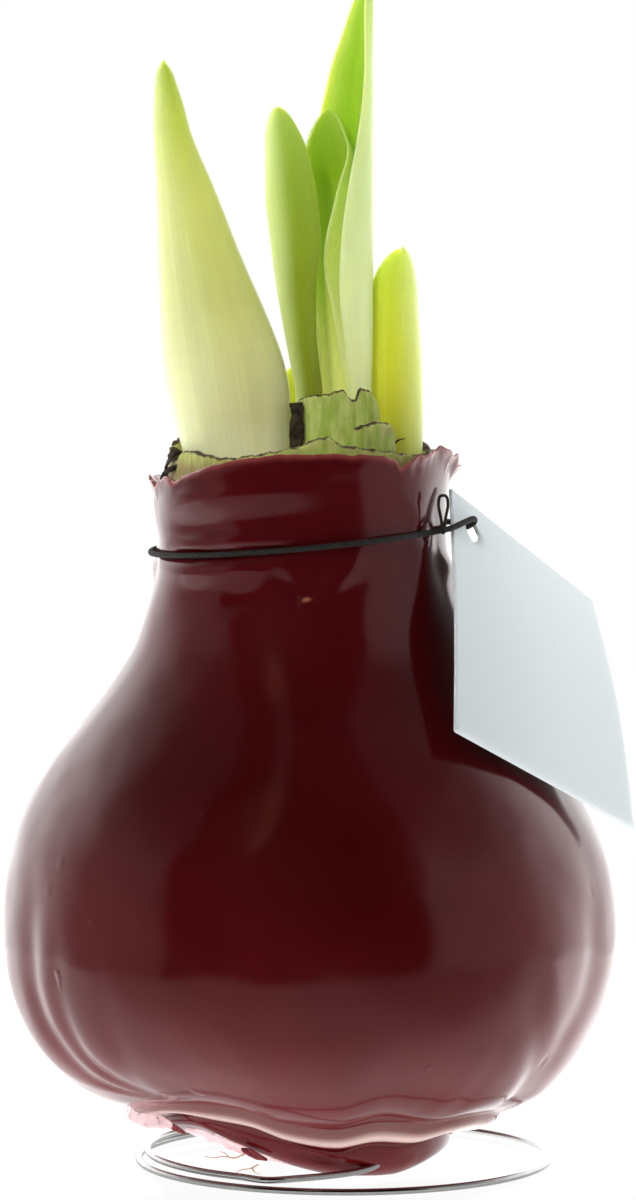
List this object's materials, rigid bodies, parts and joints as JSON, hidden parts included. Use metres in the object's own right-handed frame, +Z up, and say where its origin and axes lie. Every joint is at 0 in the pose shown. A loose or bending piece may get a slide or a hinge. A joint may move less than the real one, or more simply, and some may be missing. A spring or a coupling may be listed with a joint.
{
  "type": "waxed amaryllis bulb",
  "caption": "Sprouting amaryllis bulb in a gloss wax coat, standing by itself on a coiled wire ring, with a blank card tag on an elastic neck cord.",
  "frame": {"origin": "on the floor under the middle of the whole object's box, leaves and tag included; the lower turn of the wire stand lies on z = 0", "axes": "+Z up along the bulb and its leaves; -Y is the front, where the wire is pinned into the base and the tag faces; +X is the side the tag hangs on"},
  "size_m": [0.1016, 0.0992, 0.1898],
  "materials": {
    "wax": "gloss wax, dark wine red",
    "bulb_scales": "matt fleshy scale, pale green",
    "bud": "smooth satin sheath, yellow green to cream",
    "leaf": "smooth satin leaf, green",
    "young_leaf": "smooth satin leaf, yellow green",
    "elastic": "braided elastic, olive black",
    "card": "coated card, pale silver grey",
    "wire": "bright drawn wire"
  },
  "bodies": {
    "root": {"wax_coat": "wax", "bulb": "bulb_scales", "bud_shoot": "bud", "leaf_round": "leaf", "leaf_cupped": "leaf", "leaf_inner": "leaf", "leaf_tall": "leaf", "leaf_right": "young_leaf", "leaf_back": "young_leaf", "neck_cord": "elastic", "tag": "card", "wire_stand": "wire"}
  },
  "joints": []
}
